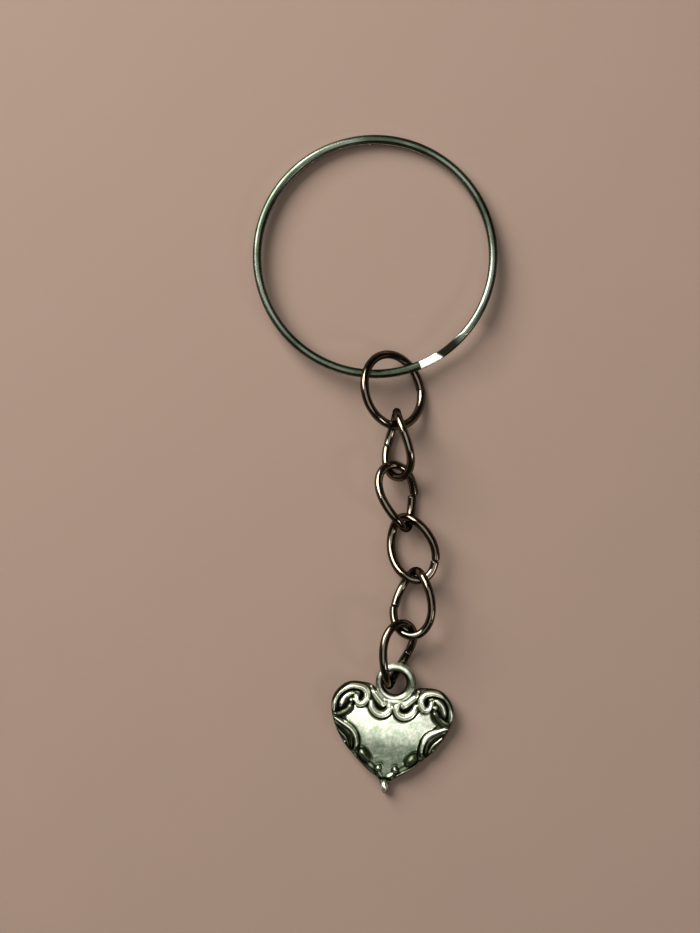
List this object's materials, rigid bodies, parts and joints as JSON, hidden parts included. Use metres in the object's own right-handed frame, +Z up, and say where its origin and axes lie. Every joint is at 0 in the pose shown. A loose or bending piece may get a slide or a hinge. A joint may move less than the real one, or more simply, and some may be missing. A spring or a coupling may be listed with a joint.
{
  "type": "split key ring",
  "caption": "Split key ring with a jump ring, a short twisted-link chain and a cast heart charm with scrolled relief, lying flat.",
  "frame": {"origin": "on the surface that the key ring lies on, under the middle of the whole object's box", "axes": "+Z up from that surface; +Y from the charm's tip towards the split ring; +X to the right, seen from above"},
  "size_m": [0.03, 0.0811, 0.0069],
  "materials": {
    "split_ring": "polished",
    "chain": "polished",
    "charm": "satin"
  },
  "bodies": {
    "split_ring": {"split_key_ring": "split_ring"},
    "jump_ring": {"jump_ring": "chain"},
    "link_1": {"chain_link_1": "chain"},
    "link_2": {"chain_link_2": "chain"},
    "link_3": {"chain_link_3": "chain"},
    "link_4": {"chain_link_4": "chain"},
    "link_5": {"chain_link_5": "chain"},
    "charm": {"heart_charm": "charm"}
  },
  "joints": [
    {"name": "jump_ring_swing", "type": "hinge", "parent": "split_ring", "child": "jump_ring", "pos_m": [0.00431, 0.01167, 0.0024], "axis": [0.9549, 0.297, 0], "range_deg": [-150, 150]},
    {"name": "link_1_swing", "type": "hinge", "parent": "jump_ring", "child": "link_1", "pos_m": [0.0023, 0.00464, 0.00434], "axis": [-0.7837, 0.1005, 0.6129], "range_deg": [-120, 120]},
    {"name": "link_2_swing", "type": "hinge", "parent": "link_1", "child": "link_2", "pos_m": [0.00191, -0.00011, 0.00292], "axis": [0.9109, 0.1602, -0.3804], "range_deg": [-110, 110]},
    {"name": "link_3_swing", "type": "hinge", "parent": "link_2", "child": "link_3", "pos_m": [0.00366, -0.0065, 0.00211], "axis": [-0.7598, 0.02, -0.6498], "range_deg": [-110, 90]},
    {"name": "link_4_swing", "type": "hinge", "parent": "link_3", "child": "link_4", "pos_m": [0.0053, -0.0142, 0.00257], "axis": [0.9963, 0.0498, -0.0697], "range_deg": [-110, 25]},
    {"name": "link_5_swing", "type": "hinge", "parent": "link_4", "child": "link_5", "pos_m": [0.00441, -0.02005, 0.00304], "axis": [-0.4802, 0.6202, 0.6202], "range_deg": [-55, 110]},
    {"name": "charm_swing", "type": "hinge", "parent": "link_5", "child": "charm", "pos_m": [0.00174, -0.02706, 0.00255], "axis": [-0.2788, -0.2887, 0.9159], "range_deg": [-50, 60]}
  ]
}
